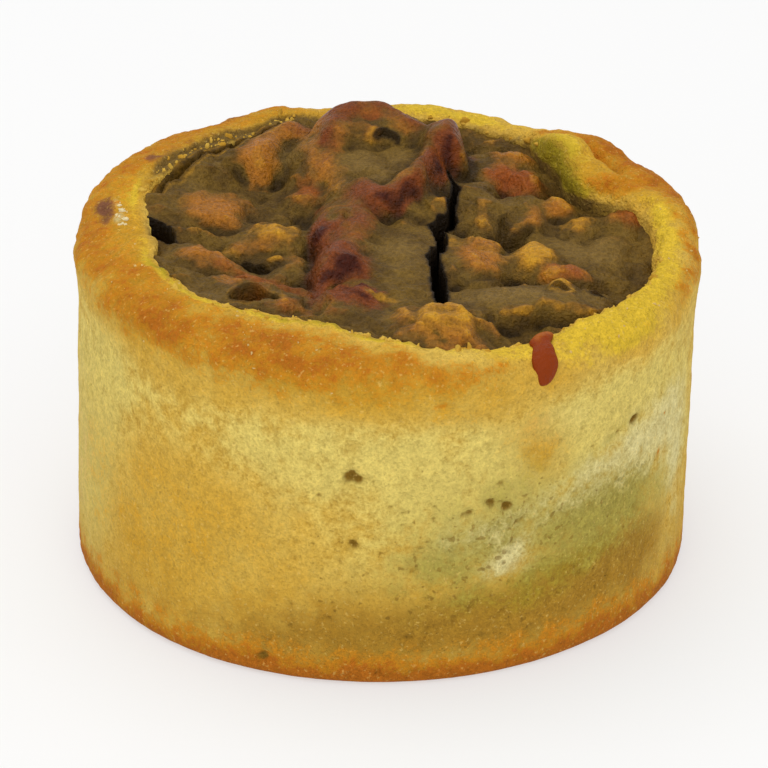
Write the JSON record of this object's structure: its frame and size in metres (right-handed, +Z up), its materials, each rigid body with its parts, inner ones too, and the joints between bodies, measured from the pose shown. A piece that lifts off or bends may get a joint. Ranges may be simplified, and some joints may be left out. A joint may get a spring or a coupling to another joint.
{
  "type": "custard tart",
  "caption": "Deep round tart: straight-sided shortcrust case with an uneven rolled rim, filled with a lumpy baked filling that has split on top.",
  "frame": {"origin": "on the surface that the tart stands on, under the middle of the tart, 0.7 mm right of its base's middle", "axes": "+Z up through the filling, -Y towards the front that the picture shows, +X to its right"},
  "size_m": [0.0814, 0.081, 0.0508],
  "materials": {
    "pastry": "dry, sandy baked shortcrust, golden with browner rim and foot",
    "filling": "moist baked filling, olive brown with browned glossy skin on the lumps"
  },
  "bodies": {
    "root": {"pastry_case": "pastry", "filling": "filling"}
  },
  "joints": []
}
